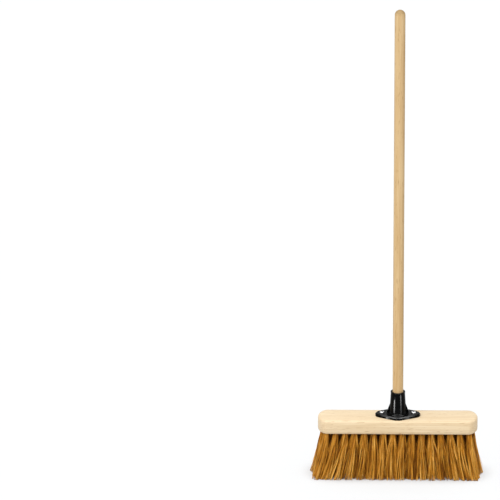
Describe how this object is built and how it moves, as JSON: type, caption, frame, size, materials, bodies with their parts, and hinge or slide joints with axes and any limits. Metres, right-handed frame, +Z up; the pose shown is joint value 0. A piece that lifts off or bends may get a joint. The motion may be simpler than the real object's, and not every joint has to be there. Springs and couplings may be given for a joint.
{
  "type": "coconut fibre broom",
  "caption": "Sweeping broom: round-ended wooden head with tufts of coconut fibre, black plastic socket screwed on top, and a long round wooden handle that pulls out.",
  "frame": {"origin": "on the floor, in the plane of the bristle tips, under the middle of the head", "axes": "+X along the head, -Y the front that the picture shows, +Z up along the handle"},
  "size_m": [0.3522, 0.0924, 1.0156],
  "materials": {
    "block_wood": "matte",
    "handle_wood": "satin",
    "coir": "matte",
    "black_plastic": "satin",
    "steel": "satin"
  },
  "bodies": {
    "head": {"block": "block_wood", "socket": "black_plastic", "left_screw": "steel", "right_screw": "steel", "tuft_front_01": "coir", "tuft_front_02": "coir", "tuft_front_03": "coir", "tuft_front_04": "coir", "tuft_front_05": "coir", "tuft_front_06": "coir", "tuft_front_07": "coir", "tuft_front_08": "coir", "tuft_front_09": "coir", "tuft_front_10": "coir", "tuft_front_11": "coir", "tuft_front_12": "coir", "tuft_front_13": "coir", "tuft_front_14": "coir", "tuft_front_15": "coir", "tuft_front_16": "coir", "tuft_middle_01": "coir", "tuft_middle_02": "coir", "tuft_middle_03": "coir", "tuft_middle_04": "coir", "tuft_middle_05": "coir", "tuft_middle_06": "coir", "tuft_middle_07": "coir", "tuft_middle_08": "coir", "tuft_middle_09": "coir", "tuft_middle_10": "coir", "tuft_middle_11": "coir", "tuft_middle_12": "coir", "tuft_middle_13": "coir", "tuft_middle_14": "coir", "tuft_middle_15": "coir", "tuft_middle_16": "coir", "tuft_middle_17": "coir", "tuft_rear_01": "coir", "tuft_rear_02": "coir", "tuft_rear_03": "coir", "tuft_rear_04": "coir", "tuft_rear_05": "coir", "tuft_rear_06": "coir", "tuft_rear_07": "coir", "tuft_rear_08": "coir", "tuft_rear_09": "coir", "tuft_rear_10": "coir", "tuft_rear_11": "coir", "tuft_rear_12": "coir", "tuft_rear_13": "coir", "tuft_rear_14": "coir", "tuft_rear_15": "coir", "tuft_rear_16": "coir"},
    "handle": {"handle": "handle_wood"}
  },
  "joints": [
    {"name": "handle_pull", "type": "slide", "parent": "head", "child": "handle", "axis": [0, 0, 1], "range_m": [0, 0.045]}
  ]
}
